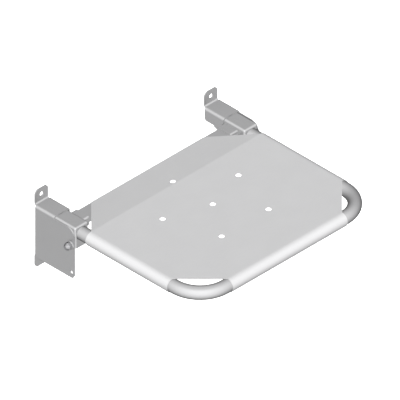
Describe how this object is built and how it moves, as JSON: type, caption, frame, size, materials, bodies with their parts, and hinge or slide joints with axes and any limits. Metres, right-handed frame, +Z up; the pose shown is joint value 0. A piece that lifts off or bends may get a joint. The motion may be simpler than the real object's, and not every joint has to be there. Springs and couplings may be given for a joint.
{
  "type": "fold down wall seat",
  "caption": "Fold down wall seat: folded sheet wall brackets, nested pivoting arms, a bent round tube frame and a sheet pan curled over it.",
  "frame": {"origin": "centre of the four wall screw holes, on the wall plane", "axes": "+Z up, +X to the right as seen from the front, -Y out from the wall"},
  "size_m": [0.467, 0.3946, 0.1586],
  "materials": {
    "bracket_steel": "satin, fine blasted grain",
    "arm_steel": "satin, fine blasted grain",
    "tube_steel": "satin, polished round the tube",
    "pan_steel": "light satin sheet",
    "zinc_steel": "dull zinc plate",
    "bush_nylon": "matt"
  },
  "bodies": {
    "wall_brackets": {"left_wall_bracket": "bracket_steel", "left_pivot_washer": "zinc_steel", "left_lock_nut": "zinc_steel", "left_pivot_bolt": "zinc_steel", "right_wall_bracket": "bracket_steel", "right_pivot_washer": "zinc_steel", "right_lock_nut": "zinc_steel", "right_pivot_bolt": "zinc_steel"},
    "seat": {"left_arm": "arm_steel", "left_cleat": "arm_steel", "left_pivot_bush": "bush_nylon", "right_arm": "arm_steel", "right_cleat": "arm_steel", "right_pivot_bush": "bush_nylon", "seat_tube": "tube_steel", "seat_pan": "pan_steel", "cross_plate": "arm_steel"}
  },
  "joints": [
    {"name": "seat_fold", "type": "hinge", "parent": "wall_brackets", "child": "seat", "pos_m": [0, -0.0898, 0.0133], "axis": [-1, 0, 0], "range_deg": [0, 95]}
  ]
}
